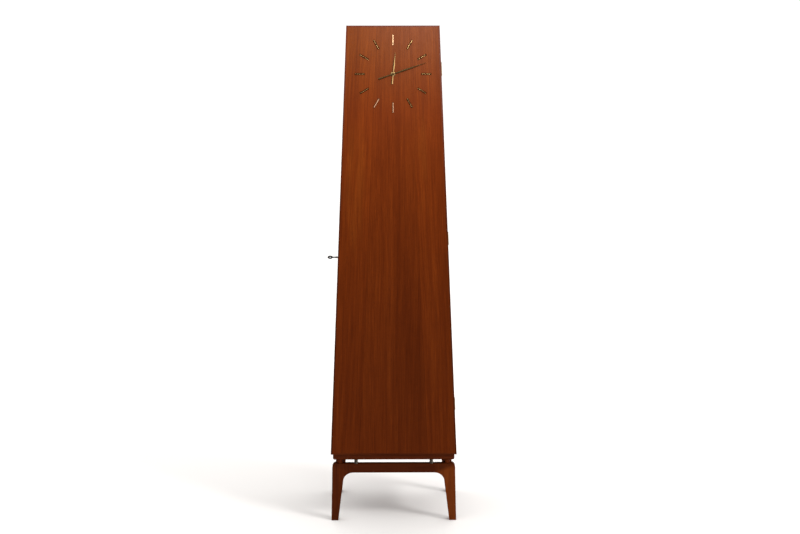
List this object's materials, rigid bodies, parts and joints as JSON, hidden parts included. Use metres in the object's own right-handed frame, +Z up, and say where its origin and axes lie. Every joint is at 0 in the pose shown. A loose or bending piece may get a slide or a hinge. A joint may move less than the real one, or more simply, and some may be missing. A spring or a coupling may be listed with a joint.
{
  "type": "clock cabinet",
  "caption": "Tall tapered teak cupboard on a four-legged stand, with a clock on its single full-height hinged door, a side lock with its key, shelves and coat pegs inside.",
  "frame": {"origin": "middle of the footprint, on the floor", "axes": "+Z up, the door and clock face -Y, the key stands out at -X, the hinges are at +X"},
  "size_m": [0.4947, 0.3746, 1.9],
  "materials": {
    "teak_panel": "oiled teak veneer, satin, grain upright",
    "teak_inside": "lighter teak veneer inside, matt",
    "teak_solid": "solid teak, oiled, satin",
    "teak_lipping": "solid teak edging, oiled",
    "beech": "plain beech",
    "clock_brass": "satin brass, slightly dulled",
    "hardware_brass": "aged brass",
    "steel": "turned steel, dulled",
    "lock_iron": "blackened",
    "key_iron": "blackened steel, worn on the edges",
    "movement_plastic": "moulded, matt",
    "battery_sleeve": "plain printed sleeve, no marks"
  },
  "bodies": {
    "cabinet": {"side_left": "teak_panel", "side_right": "teak_panel", "top_panel": "teak_panel", "bottom_board": "teak_solid", "back_panel": "teak_inside", "shelf_upper": "teak_inside", "shelf_lower": "teak_inside", "shelf_pins": "hardware_brass", "coat_pegs": "hardware_brass", "leg_front_left": "teak_solid", "leg_front_right": "teak_solid", "leg_rear_left": "teak_solid", "leg_rear_right": "teak_solid", "rail_front": "teak_solid", "rail_rear": "teak_solid", "rail_left": "teak_solid", "rail_right": "teak_solid", "corner_spacers": "teak_solid", "metal_spacers": "steel", "base_screws": "steel", "stand_dowels": "beech", "frame_screws": "steel", "hinge_pins": "hardware_brass", "lock_case": "lock_iron", "escutcheon": "hardware_brass", "hinge_lower_frame_leaf": "hardware_brass", "hinge_middle_frame_leaf": "hardware_brass", "hinge_upper_frame_leaf": "hardware_brass"},
    "door": {"door_panel": "teak_panel", "door_lip_left": "teak_lipping", "door_lip_right": "teak_lipping", "door_lip_top": "teak_lipping", "door_lip_bottom": "teak_lipping", "lock_keep": "steel", "door_screws": "steel", "movement_case": "movement_plastic", "movement_nut": "clock_brass", "battery": "battery_sleeve", "hinge_lower_door_leaf": "hardware_brass", "hinge_middle_door_leaf": "hardware_brass", "hinge_upper_door_leaf": "hardware_brass", "hour_marker_1": "clock_brass", "hour_marker_2": "clock_brass", "hour_marker_3": "clock_brass", "hour_marker_4": "clock_brass", "hour_marker_5": "clock_brass", "hour_marker_6": "clock_brass", "hour_marker_7": "clock_brass", "hour_marker_8": "clock_brass", "hour_marker_9": "clock_brass", "hour_marker_10": "clock_brass", "hour_marker_11": "clock_brass", "hour_marker_12": "clock_brass"},
    "lock_barrel": {"lock_plug": "hardware_brass"},
    "bolt": {"lock_bolt": "steel"},
    "key": {"key": "key_iron"},
    "hour_hand": {"hour_hand": "clock_brass"},
    "minute_hand": {"minute_hand": "clock_brass", "hand_nut": "clock_brass", "set_wheel": "hardware_brass"}
  },
  "joints": [
    {"name": "door_hinge", "type": "hinge", "parent": "cabinet", "child": "door", "pos_m": [0.2057, -0.1605, 1.115], "axis": [-0.0454, 0, 0.999], "range_deg": [0, 170]},
    {"name": "key_turn", "type": "hinge", "parent": "cabinet", "child": "lock_barrel", "pos_m": [-0.20911, -0.135, 1.04], "axis": [1, 0, 0], "range_deg": [0, 90]},
    {"name": "bolt_throw", "type": "slide", "parent": "cabinet", "child": "bolt", "axis": [0, 0, 1], "range_m": [0, 0.01]},
    {"name": "key_draw", "type": "slide", "parent": "lock_barrel", "child": "key", "axis": [-1, 0, 0], "range_m": [0, 0.03]},
    {"name": "minute_turn", "type": "hinge", "parent": "door", "child": "minute_hand", "pos_m": [0, -0.18, 1.726], "axis": [0, 1, 0], "continuous": true},
    {"name": "hour_turn", "type": "hinge", "parent": "door", "child": "hour_hand", "pos_m": [0, -0.18, 1.726], "axis": [0, 1, 0], "continuous": true}
  ],
  "couplings": [
    {"joint": "bolt_throw", "follows": "key_turn", "m_per_rad": 0.0063022},
    {"joint": "hour_turn", "follows": "minute_turn", "ratio": 0.083333}
  ]
}
